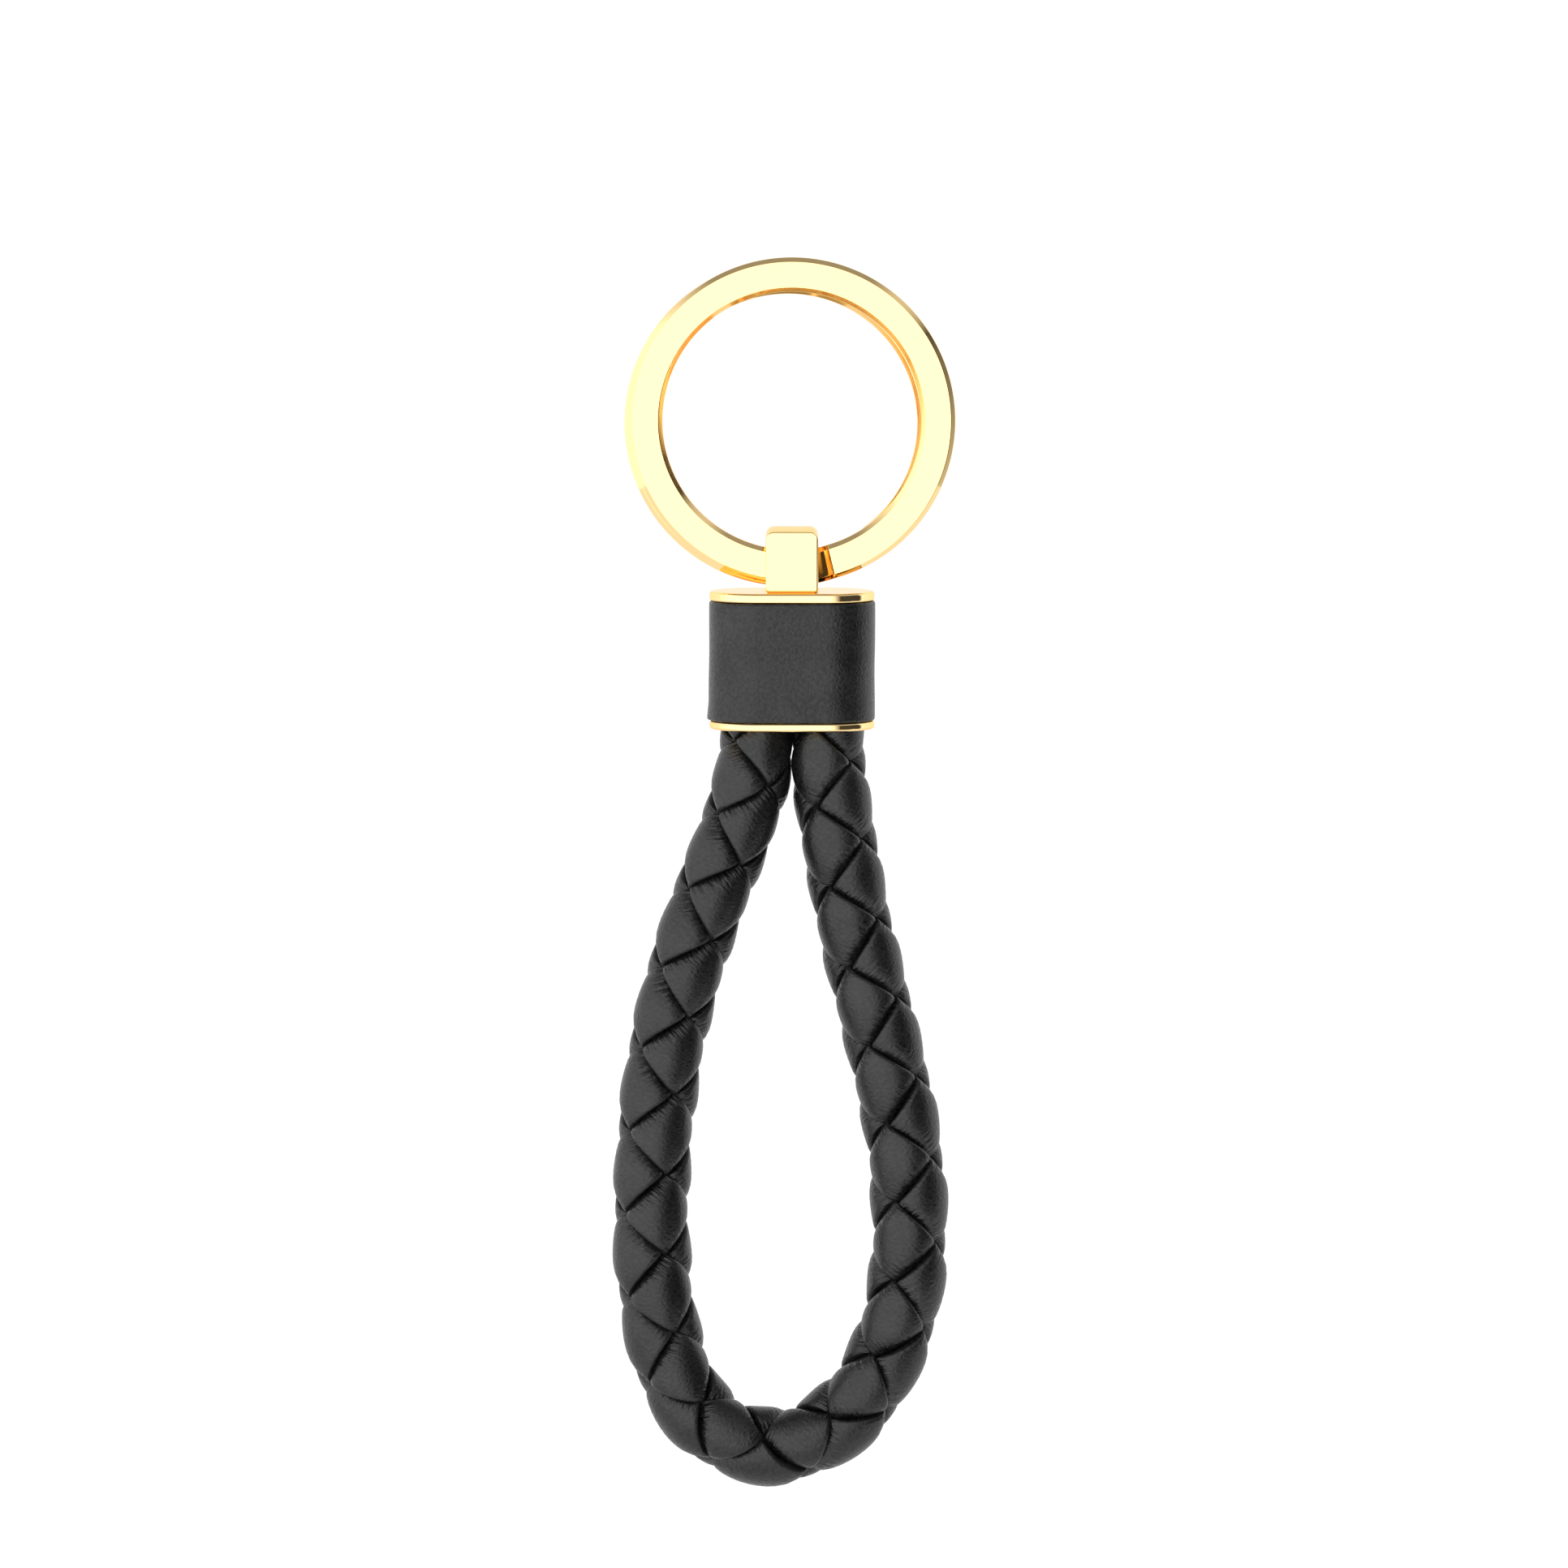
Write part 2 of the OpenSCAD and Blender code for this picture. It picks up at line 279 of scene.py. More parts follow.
def strand(number, hand):
    """Grid of one strand.

    The section is a flat rounded bar, x across the strand and y its thickness. Its middle rides
    at rise * tanh(k cos(pi t)) / tanh(k), where t counts crossings and is 0 on top, and its
    edges droop with the square of x. The edge further along the cord stands a little proud, as
    shingles do, and the whole braid leans round the cord towards the middle of the loop.
    """
    cell = BRAID_PITCH / 4
    first = -BRAID_START / cell + hand * number + 0.5
    last = (CORD_LENGTH - BRAID_START) / cell + hand * number - 0.5
    u = np.linspace(first, last, round((last - first) * RINGS_PER_CELL))[:, None]
    x, y = strand_section()
    seed = 10 * number + hand + 5
    crossing = u - hand * number - (0 if hand > 0 else 1)
    across = (STRAND_COVER / 2 * x * (1 + WIDTH_UNEVEN * wander(u, seed))
              + PLACE_UNEVEN * wander(u, seed + 1)
              - hand * FLOAT_TURN * np.sin(math.pi * crossing))
    wave = np.tanh(DIVE_SHARPNESS * np.cos(math.pi * crossing)) / math.tanh(DIVE_SHARPNESS)
    radius = (STRAND_MID_RADIUS + STRAND_RISE * wave - EDGE_DROOP * x * x
              - hand * EDGE_SHINGLE * x
              + STRAND_HALF_THICK * y * (1 + THICK_UNEVEN * wander(u, seed + 2)))
    along = (u - hand * (number + across)) * cell + BRAID_START
    middle = np.sin(math.pi * np.clip(along / CORD_LENGTH, 0, 1))
    lean = LEAN_ENDS + (LEAN_MIDDLE - LEAN_ENDS) * middle ** 1.5
    turn = (number + across + hand * u) * math.pi / 2 + BRAID_LEAD - lean
    points = cord_point(along, turn, radius * squeeze(along))
    from_top = np.abs((crossing + 1) % 2 - 1)
    tuck = np.broadcast_to(np.exp(-((from_top - TUCK_AT) / TUCK_REACH) ** 2), points.shape[:2])
    cell_uv = 1.5 * cell / MM
    uv = np.stack([np.broadcast_to(across * cell_uv, points.shape[:2]),
                   np.broadcast_to(u * cell_uv + UV_STRAND_APART * number, points.shape[:2])],
                  axis=-1)
    return points, uv, tuck


def braid_piece(name):
    """All four strands as four closed shells of one mesh, with their tuck stored on the points."""
    shells, tucks = [], []
    for number, hand in [(0, 1), (1, 1), (0, -1), (1, -1)]:
        points, uv, tuck = strand(number, hand)
        shells.append(grid_piece(f"strand_{len(shells)}", points, uv=uv))
        tucks.append(tuck.ravel())
    with bpy.context.temp_override(active_object=shells[0], object=shells[0],
                                   selected_objects=shells, selected_editable_objects=shells):
        bpy.ops.object.join()
    piece = shells[0]
    piece.name = piece.data.name = name
    store = piece.data.attributes.new("tuck", "FLOAT", "POINT")
    store.data.foreach_set("value", np.concatenate(tucks).astype(np.float32))
    return piece


braided_cord = braid_piece("braided_cord")
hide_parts("braided_loop", "cord_end_left", "cord_end_right")
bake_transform(braided_cord)

# %% [markdown]
# ## Collar pieces
# The collar's outline is a stadium: two straight sides joined by half circles. A rim is a small
# profile carried round that outline. Each profile point is an inset from the outline and a
# height, and an inset of a stadium is again a stadium, so the walls stay even all the way round.

# %% Stadium helper
STADIUM_STEPS = 160
ARC_SUPPORT = 0.015 * MM


def stadium_ring(width, depth, inset):
    """Points round a stadium, evenly spaced in turn; inset may be an array of insets."""
    inset = np.asarray(inset, float)[..., None]
    half_bar = (width - depth) / 2
    turn = np.linspace(0, 2 * math.pi, STADIUM_STEPS, endpoint=False) + math.pi / STADIUM_STEPS
    radius = depth / 2 - inset
    x = radius * np.cos(turn) + half_bar * np.sign(np.cos(turn))
    y = radius * np.sin(turn)
    return x, y


def rounded_profile(corners, steps=6):
    """Closed polygon of (x, y, corner radius) with each corner replaced by an arc.

    A second point stands close beside each end of an arc, so that flat sides shade flat.
    """
    beside = ARC_SUPPORT
    out = []
    for i, (x, z, r) in enumerate(corners):
        here = np.array([x, z], float)
        before = np.array(corners[i - 1][:2], float) - here
        after = np.array(corners[(i + 1) % len(corners)][:2], float) - here
        before /= np.linalg.norm(before)
        after /= np.linalg.norm(after)
        if r == 0:
            out.append(here[None])
            continue
        half = math.acos(float(np.clip(before @ after, -1, 1))) / 2
        centre = here + (before + after) / np.linalg.norm(before + after) * r / math.sin(half)
        start = here + before * r / math.tan(half) - centre
        end = here + after * r / math.tan(half) - centre
        t = np.linspace(0, 1, steps)[:, None]
        arc = start * (1 - t) + end * t
        arc = centre + arc / np.linalg.norm(arc, axis=1)[:, None] * r
        out += [arc[:1] + before * beside, arc, arc[-1:] + after * beside]
    return np.concatenate(out)


def stadium_piece(name, width, depth, profile):
    """A closed profile of (inset, height) carried round the stadium."""
    x, y = stadium_ring(width, depth, profile[:, 0])
    z = np.broadcast_to(profile[:, 1][:, None], x.shape)
    return grid_piece(name, np.stack([x, y, z], axis=-1).swapaxes(0, 1), wrap_rows=True)


CAP_W = CAP_BOX[1][0] - CAP_BOX[0][0]
CAP_D = CAP_BOX[1][1] - CAP_BOX[0][1]
SLEEVE_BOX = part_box("inner_sleeve")
SLEEVE_THICK = 0.5 * MM
BORE_INSET = (CAP_W - (SLEEVE_BOX[1][0] - SLEEVE_BOX[0][0])) / 2 + SLEEVE_THICK

# %% [markdown]
# ## Top cap and bottom rim
# The cap is a thin plate with a polished face. Its outer edge is rounded, and the curve is what
# catches the light as a bright line. The bottom rim is the same edge as an open frame, and its
# inner lip is rounded so that it doesn't cut into the braid.

# %% Cap and rim
EDGE_ROUND, LIP_LOW_ROUND, LIP_TOP_ROUND = 0.3 * MM, 0.2 * MM, 0.05 * MM
TOP_RINGS = 8
CAP_TOP, CAP_LOW = CAP_BOX[1][2], WRAP_BOX[1][2]
SPIGOT_LOW = CAP_BOX[0][2]


def cap_piece():
    """Plate profile from the middle of the top, round the edge, to the middle of the spigot."""
    r = CAP_D / 2
    edge = rounded_profile([(r, CAP_TOP, 0), (0, CAP_TOP, EDGE_ROUND), (0, CAP_LOW, EDGE_ROUND),
                            (BORE_INSET, CAP_LOW, 0), (BORE_INSET, SPIGOT_LOW, 0),
                            (r, SPIGOT_LOW, 0)])
    inner = np.linspace(r, edge[1, 0], TOP_RINGS)[1:-1]
    face = np.stack([inner, np.full_like(inner, CAP_TOP)], axis=1)
    profile = np.concatenate([edge[:1], face, edge[1:]])
    x, y = stadium_ring(CAP_W, CAP_D, profile[:, 0])
    z = np.broadcast_to(profile[:, 1][:, None], x.shape)
    piece = grid_piece("gold_cap", np.stack([x, y, z], axis=-1), capped=False)
    work = bmesh.new()
    work.from_mesh(piece.data)
    bmesh.ops.remove_doubles(work, verts=work.verts, dist=1e-6)
    bmesh.ops.recalc_face_normals(work, faces=work.faces)
    work.to_mesh(piece.data)
    work.free()
    return piece


gold_cap = cap_piece()
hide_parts("top_cap")
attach(gold_cap, "collar")

rim_top, rim_low = RIM_BOX[1][2], RIM_BOX[0][2]
gold_rim = stadium_piece("gold_rim", CAP_W, CAP_D, rounded_profile([
    (0, rim_top, EDGE_ROUND), (0, rim_low, EDGE_ROUND),
    (BORE_INSET, rim_low, LIP_LOW_ROUND), (BORE_INSET, rim_top, LIP_TOP_ROUND)]))
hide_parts("bottom_rim")
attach(gold_rim, "collar")

# %% [markdown]
# ## Leather wrap
# A strip of calf leather is glued round the sleeve and its ends meet at the back. Its section is
# a tall thin rectangle with turned corners. The strip is carried round the stadium from one end
# to the other, so the butt seam is a real gap, and the ends are pinched a little as glue does.
# Hand-set leather is never quite even: the face swells slowly, the cut edges are a little ragged,
# and the lower left corner stands slightly proud of the rim.

# %% Leather wrap
WRAP_THICK = 0.95 * MM
WRAP_ROUND = 0.28 * MM
WRAP_STEPS = 320
WRAP_ROWS = 40
SEAM_GAP = 0.012 * MM
CORNER_POINTS = 8
SEAM_PINCH, PINCH_REACH = 0.12 * MM, 0.5 * MM
FACE_SWELL, SWELL_ALONG, SWELL_UP, SWELL_DRIFT = 0.035 * MM, 2.1 * MM, 3 * MM, 2.2
FLARE, FLARE_WIDTH, FLARE_HEIGHT = 0.16 * MM, 1.6 * MM, 2.2 * MM
EDGE_RAGGED, RAGGED_LONG, RAGGED_SHORT, RAGGED_FROM = 0.03 * MM, 0.9 * MM, 0.37 * MM, 0.85


def wrap_piece():
    """Strip section carried along the outline from seam to seam.

    Its outer face swells slowly, is pinched towards the seam as exp(-distance / PINCH_REACH), and
    flares at the lower left. The first corner's points come first in the section, so the rows of
    the face go in after them.
    """
    low, high = WRAP_BOX[0], WRAP_BOX[1]
    width, depth = high[0] - low[0], high[1] - low[1]
    radius, bar = depth / 2, width - depth
    bottom, top = low[2], high[2]
    section = rounded_profile([(0, top, WRAP_ROUND), (0, bottom, WRAP_ROUND),
                               (WRAP_THICK, bottom, 0), (WRAP_THICK, top, 0)])
    face = np.linspace(top - WRAP_ROUND, bottom + WRAP_ROUND, WRAP_ROWS)[2:-2]
    section = np.concatenate([section[:CORNER_POINTS],
                              np.stack([np.zeros_like(face), face], axis=1),
                              section[CORNER_POINTS:]])
    length = 2 * bar + 2 * math.pi * radius
    s = np.linspace(SEAM_GAP, length - SEAM_GAP, WRAP_STEPS)
    arc = math.pi * radius
    breaks = [0, bar / 2, bar / 2 + arc, 1.5 * bar + arc, 1.5 * bar + 2 * arc, length]
    turn = np.interp(s, breaks, [math.pi / 2, math.pi / 2, -math.pi / 2, -math.pi / 2,
                                 -1.5 * math.pi, -1.5 * math.pi])
    middle = np.interp(s, breaks, [0, bar / 2, bar / 2, -bar / 2, -bar / 2, 0])
    pinch = SEAM_PINCH * (np.exp(-s / PINCH_REACH) + np.exp(-(length - s) / PINCH_REACH))
    inset, height = section[None, :, 0], section[None, :, 1]
    outer = 1 - inset / WRAP_THICK
    swell = FACE_SWELL * np.sin(s[:, None] / SWELL_ALONG + SWELL_DRIFT * np.sin(height / SWELL_UP))
    low_left = np.exp(-((s - bar / 2 - 1.5 * arc - bar) / FLARE_WIDTH) ** 2)[:, None]
    flare = FLARE * low_left * smoothstep(-height, -bottom - FLARE_HEIGHT, -bottom)
    reach = radius - inset + outer * (swell + flare - pinch[:, None])
    edge = np.abs(height - (top + bottom) / 2) / ((top - bottom) / 2)
    ragged = (EDGE_RAGGED * np.sin(s[:, None] / RAGGED_LONG)
              * np.sin(s[:, None] / RAGGED_SHORT + 1))
    z = height + ragged * smoothstep(edge, RAGGED_FROM, 1) * np.sign(height - (top + bottom) / 2)
    x = middle[:, None] + reach * np.cos(turn)[:, None]
    y = reach * np.sin(turn)[:, None]
    return grid_piece("leather_strip", np.stack(np.broadcast_arrays(x, y, z), axis=-1))


leather_strip = wrap_piece()
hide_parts("leather_wrap")
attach(leather_strip, "collar")

# %% [markdown]
# ## Bail
# The bail is a cast stirrup that stands on the cap. Seen from the side it is an upside-down U.
# That outline is carried across in slices: its top sinks along a quarter circle near each side,
# which gives the plate its soft shoulders in front view, and its foot rises in the same way.
# The bar's top is slightly domed from front to back, so it shows as a warm band above the face.

# %% Bail
BAIL_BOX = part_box("bail")
BAIL_HALF_W = (BAIL_BOX[1][0] - BAIL_BOX[0][0]) / 2
BAIL_HALF_D = (BAIL_BOX[1][1] - BAIL_BOX[0][1]) / 2
BAIL_TOP = BAIL_BOX[1][2]
BAIL_LEG, BAIL_BAR = 1.05 * MM, 1.65 * MM
BAIL_SHOULDER, BAIL_HEEL, BAIL_EDGE = 0.85 * MM, 0.4 * MM, 0.2 * MM
BAIL_SINK, BAIL_DOME = 0.03 * MM, 0.4 * MM
FOOT_ROUND, SLOT_ROUND, SHARP = 0.3 * MM, 0.3 * MM, 0.03 * MM
DOME_REACH, DOME_POINTS = 0.85, 9


def bail_slice(x):
    """Closed outline of the stirrup at one x, seen from the side, walked from the front foot."""
    side = max(abs(x) - (BAIL_HALF_W - BAIL_EDGE), 0)
    inset = BAIL_EDGE - math.sqrt(max(BAIL_EDGE ** 2 - side ** 2, 0))
    over = max(abs(x) - (BAIL_HALF_W - BAIL_SHOULDER), 0)
    top = BAIL_TOP - BAIL_SHOULDER + math.sqrt(max(BAIL_SHOULDER ** 2 - over ** 2, 0))
    over = max(abs(x) - (BAIL_HALF_W - BAIL_HEEL), 0)
    foot = CAP_TOP - BAIL_SINK + BAIL_HEEL - math.sqrt(max(BAIL_HEEL ** 2 - over ** 2, 0))
    outer, inner = BAIL_HALF_D - inset, BAIL_HALF_D - BAIL_LEG + inset
    slot = BAIL_TOP - BAIL_BAR + inset
    edge = max(BAIL_EDGE - inset, SHARP)
    heel = max(FOOT_ROUND - inset, SHARP)
    corner = SLOT_ROUND + inset
    dome = [(y * outer, top - BAIL_DOME * y * y, 0)
            for y in np.linspace(-DOME_REACH, DOME_REACH, DOME_POINTS)]
    outline = [(-outer, foot, heel), (-outer, top - BAIL_DOME, edge), *dome,
               (outer, top - BAIL_DOME, edge), (outer, foot, heel), (inner, foot, SHARP),
               (inner, slot, corner), (-inner, slot, corner), (-inner, foot, SHARP)]
    return rounded_profile(outline)


def bail_piece():
    """Side outlines carried across; the slices crowd together where the shoulders turn."""
    turn = np.linspace(0, math.pi / 2, 13)
    shoulder = BAIL_HALF_W - BAIL_SHOULDER + BAIL_SHOULDER * np.sin(turn)
    edge = BAIL_HALF_W - BAIL_EDGE + BAIL_EDGE * np.sin(turn)
    heel = BAIL_HALF_W - BAIL_HEEL + BAIL_HEEL * np.sin(turn)
    right = np.unique(np.concatenate([[0], shoulder, heel, edge]).round(7))
    slices = np.concatenate([-right[:0:-1], right])
    outline = np.stack([bail_slice(float(x)) for x in slices])
    x = np.broadcast_to(slices[:, None], outline.shape[:2])
    return grid_piece("gold_bail", np.stack([x, outline[..., 0], outline[..., 1]], axis=-1))


gold_bail = bail_piece()
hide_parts("bail")
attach(gold_bail, "collar")

# %% [markdown]
# ## Split ring
# Flat spring wire is wound into two coils that lie on each other. The wire starts at a free end
# on the front coil, runs round clockwise, steps back to the rear coil just right of the bail and
# ends after a second turn, short of the step, which leaves a notch for a thumbnail. One rounded
# section is carried along that path. The rear coil has slipped a few tenths of a millimetre to
# the lower left, as loose coils do, so its edge shows beside the front one.

# %% Split ring
RING_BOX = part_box("split_ring")
RING_OUTER = (RING_BOX[1][0] - RING_BOX[0][0]) / 2
RING_THICK = RING_BOX[1][1] - RING_BOX[0][1]
BAND_WIDTH = 3.45 * MM
RING_CENTRE_Z = RING_BOX[1][2] - RING_OUTER
COIL_GAP = 0.06 * MM
COIL_THICK = (RING_THICK - COIL_GAP) / 2
FRONT_END, STEP_START, STEP_END, REAR_END = 278.8, -73.5, -80.8, -415.0
OUTER_BEVEL, INNER_BEVEL, BAND_SOFT = 0.44 * MM, 0.45 * MM, 0.1 * MM
REAR_SLIP = (-0.4 * MM, -0.3 * MM)
RING_SECTIONS, STEP_SECTIONS = 720, 60


def ring_piece():
    """Section (radial, axial) carried along the turn; the coil's plane shifts back in the step."""
    turn = np.linspace(FRONT_END, REAR_END, RING_SECTIONS)
    extra = np.linspace(STEP_START + 1, STEP_END - 1, STEP_SECTIONS)
    turn = np.unique(np.concatenate([turn, extra]))[::-1]
    back = smoothstep(-turn, -STEP_START, -STEP_END)
    shift = (COIL_THICK + COIL_GAP) / 2 * (2 * back - 1)
    w, t, r, o, i = BAND_WIDTH, COIL_THICK, BAND_SOFT, OUTER_BEVEL, INNER_BEVEL
    section = rounded_profile([(o, t, r), (w - i, t, r), (w, t - i, r), (w, i, r),
                               (w - i, 0, r), (o, 0, r), (0, o, r), (0, t - o, r)], steps=4)
    radial = RING_OUTER - section[None, :, 0]
    y = section[None, :, 1] - COIL_THICK / 2 + shift[:, None]
    angle = np.radians(turn)[:, None]
    x = radial * np.cos(angle) + REAR_SLIP[0] * back[:, None]
    z = RING_CENTRE_Z + radial * np.sin(angle) + REAR_SLIP[1] * back[:, None]
    return grid_piece("gold_ring", np.stack(np.broadcast_arrays(x, y, z), axis=-1))


gold_ring = ring_piece()
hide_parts("split_ring")
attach(gold_ring, "ring")

# %% [markdown]
# ## Whippings
# Each end of the braid is bound with waxed thread before it is glued. Nine close turns make a
# helix, and the thread is a thin tube carried along it. They are hidden in the sleeve, but a
# reader who opens the collar finds them where a maker would have tied them.

# %% Whippings
WHIP_TURNS = 9
THREAD_STEPS, THREAD_SIDES = 40, 10


def whipping_piece(name, node):
    """Helix of close turns: the angle grows evenly and the height rises by a thread a turn."""
    low, high = (np.array(c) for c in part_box(node))
    thread = (high[2] - low[2]) / (WHIP_TURNS + 1) / 2
    centre = (low + high) / 2
    reach = (high[0] - low[0]) / 2 - thread
    turn = np.linspace(0, 2 * math.pi * WHIP_TURNS, WHIP_TURNS * THREAD_STEPS)[:, None]
    round_it = np.linspace(0, 2 * math.pi, THREAD_SIDES, endpoint=False)[None, :]
    radius = reach + thread * np.cos(round_it)
    z = low[2] + thread + turn / (2 * math.pi) * 2 * thread + thread * np.sin(round_it)
    x, y = centre[0] + radius * np.cos(turn), centre[1] + radius * np.sin(turn)
    piece = grid_piece(name, np.stack(np.broadcast_arrays(x, y, z), axis=-1))
    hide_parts(node)
    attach(piece, "collar")
    return piece


whippings = [whipping_piece(f"thread_{side}", f"whipping_{side}") for side in ("left", "right")]

# %% [markdown]
# ## Shared shader effects
# Both leathers use one grain: small rounded pebbles with creases between them, finer pores, and
# a slow change of tone. Both metals use one wear: faint wipe marks and a slow change of gloss.
# Each effect is a node group, built once and placed in each material with its own scale.

# %% Node helpers
def new_group(name, inputs, outputs):
    """Empty shader group with named sockets, and its input and output nodes."""
    group = bpy.data.node_groups.new(name, "ShaderNodeTree")
    for label, kind in inputs:
        group.interface.new_socket(label, in_out="INPUT", socket_type=kind)
    for label, kind in outputs:
        group.interface.new_socket(label, in_out="OUTPUT", socket_type=kind)
    return group, group.nodes.new("NodeGroupInput"), group.nodes.new("NodeGroupOutput")


def add(tree, kind, **settings):
    """New node; settings name its properties, or its input sockets when given as input_N."""
    node = tree.nodes.new(kind)
    for key, value in settings.items():
        if key.startswith("input_"):
            node.inputs[int(key[6:])].default_value = value
        else:
            setattr(node, key, value)
    return node


def maths(tree, operation, a, b=None, clamp=False):
    """Math node of two values, each a socket or a number; returns its output socket."""
    node = add(tree, "ShaderNodeMath", operation=operation, use_clamp=clamp)
    for socket, value in zip(node.inputs, (a, b)):
        if value is None:
            continue
        if isinstance(value, (int, float)):
            socket.default_value = value
        else:
            tree.links.new(value, socket)
    return node.outputs[0]


def leather_grain_group():
    """Height and tone of grain: rounded cells, pores from a fine noise, and a slow mottle."""
    group, inlet, outlet = new_group(
        "leather_grain", [("Vector", "NodeSocketVector"), ("Scale", "NodeSocketFloat")],
        [("Height", "NodeSocketFloat"), ("Tone", "NodeSocketFloat")])
    links = group.links
    cells = add(group, "ShaderNodeTexVoronoi", feature="DISTANCE_TO_EDGE")
    fine = add(group, "ShaderNodeTexNoise", input_3=4.0, input_4=0.65)
    slow = add(group, "ShaderNodeTexNoise", input_3=3.0, input_4=0.5)
    links.new(inlet.outputs["Vector"], cells.inputs["Vector"])
    links.new(inlet.outputs["Vector"], fine.inputs["Vector"])
    links.new(inlet.outputs["Vector"], slow.inputs["Vector"])
    links.new(inlet.outputs["Scale"], cells.inputs["Scale"])
    links.new(maths(group, "MULTIPLY", inlet.outputs["Scale"], 1.3), fine.inputs["Scale"])
    links.new(maths(group, "MULTIPLY", inlet.outputs["Scale"], 0.14), slow.inputs["Scale"])
    pebble = maths(group, "MULTIPLY", cells.outputs["Distance"], 2.2, clamp=True)
    height = maths(group, "ADD", maths(group, "MULTIPLY", pebble, 0.55),
                   maths(group, "MULTIPLY", fine.outputs[0], 0.9))
    links.new(height, outlet.inputs["Height"])
    tone = maths(group, "ADD", maths(group, "MULTIPLY", slow.outputs[0], 0.3),
                 maths(group, "MULTIPLY", fine.outputs[0], 0.7))
    links.new(tone, outlet.inputs["Tone"])
    return group


def fine_wear_group():
    """Gloss change and faint height of a handled metal: slow smears and long thin wipe marks."""
    group, inlet, outlet = new_group(
        "fine_wear", [("Vector", "NodeSocketVector"), ("Scale", "NodeSocketFloat")],
        [("Smear", "NodeSocketFloat"), ("Height", "NodeSocketFloat")])
    links = group.links
    smear = add(group, "ShaderNodeTexNoise", input_3=3.0, input_4=0.6)
    stretch = add(group, "ShaderNodeMapping")
    stretch.inputs["Scale"].default_value = (9.0, 9.0, 1.0)
    wipe = add(group, "ShaderNodeTexNoise", input_3=2.0, input_4=0.5)
    links.new(inlet.outputs["Vector"], smear.inputs["Vector"])
    links.new(inlet.outputs["Vector"], stretch.inputs["Vector"])
    links.new(stretch.outputs[0], wipe.inputs["Vector"])
    links.new(inlet.outputs["Scale"], smear.inputs["Scale"])
    links.new(maths(group, "MULTIPLY", inlet.outputs["Scale"], 2.0), wipe.inputs["Scale"])
    links.new(smear.outputs[0], outlet.inputs["Smear"])
    height = maths(group, "ADD", maths(group, "MULTIPLY", wipe.outputs[0], 0.4),
                   smear.outputs[0])
    links.new(height, outlet.inputs["Height"])
    return group


LEATHER_GRAIN, FINE_WEAR = leather_grain_group(), fine_wear_group()
print("node groups:", LEATHER_GRAIN.name, FINE_WEAR.name)

# %% [markdown]
# ## Materials
# Black leather in a white light tent is mostly a reflection: its own colour is nearly black, and
# the soft grey comes from its gloss. So the base stays very dark and the roughness decides the
# look. The plating is a pure metal with a warm yellow colour and very little roughness. Polished
# gold turns paler where it is seen edge on, so each metal has a second, lighter tint for that.

# %% Material helpers
def new_material(name):
    """Material with a Principled BSDF; returns the material, its tree and the shader."""
    material = bpy.data.materials.new(name)
    material.use_nodes = True
    return material, material.node_tree, material.node_tree.nodes["Principled BSDF"]


def placed(tree, group, vector, scale):
    """A node group in a material, fed with a vector and a scale."""
    node = add(tree, "ShaderNodeGroup", node_tree=group)
    tree.links.new(vector, node.inputs["Vector"])
    node.inputs["Scale"].default_value = scale
    return node


def ranged(tree, value, low, high, to_low, to_high):
    """Map Range node from low..high to to_low..to_high; returns its output socket."""
    node = add(tree, "ShaderNodeMapRange", input_1=low, input_2=high, input_3=to_low,
               input_4=to_high)
    tree.links.new(value, node.inputs[0])
    return node.outputs[0]


def mixed(tree, factor, dark, light):
    """Colour between dark and light by a factor socket."""
    node = add(tree, "ShaderNodeMix", data_type="RGBA")
    node.inputs[6].default_value = (*dark, 1)
    node.inputs[7].default_value = (*light, 1)
    tree.links.new(factor, node.inputs[0])
    return node.outputs[2]


def bumped(tree, shader, height, strength, distance):
    """Bump node from a height socket into the shader's normal."""
    node = add(tree, "ShaderNodeBump")
    node.inputs["Strength"].default_value = strength
    node.inputs["Distance"].default_value = distance
    tree.links.new(height, node.inputs["Height"])
    tree.links.new(node.outputs[0], shader.inputs["Normal"])


# %% Leathers
TONE_SPAN, HEIGHT_SPAN = (0.4, 0.62), (0.4, 1.0)
WRAP_GRAIN, BRAID_GRAIN = 2200, 2.2
CREASE_STRETCH, FOLD_HEIGHT = (2.6, 0.55, 1), 8.0


def wrap_leather():
    """Calf leather of the collar: fine pebbled grain on object coordinates."""
    material, tree, shader = new_material("wrap_leather")
    place = add(tree, "ShaderNodeTexCoord")
    grain = placed(tree, LEATHER_GRAIN, place.outputs["Object"], WRAP_GRAIN)
    tone = ranged(tree, grain.outputs["Tone"], *TONE_SPAN, 0, 1)
    tree.links.new(mixed(tree, tone, (0.0, 0.0, 0.0), (0.017, 0.017, 0.0172)),
                   shader.inputs["Base Color"])
    tree.links.new(ranged(tree, grain.outputs["Height"], *HEIGHT_SPAN, 0.42, 0.27),
                   shader.inputs["Roughness"])
    bumped(tree, shader, grain.outputs["Height"], 0.6, 0.065 * MM)
    shader.inputs["Specular IOR Level"].default_value = 0.4
    return material


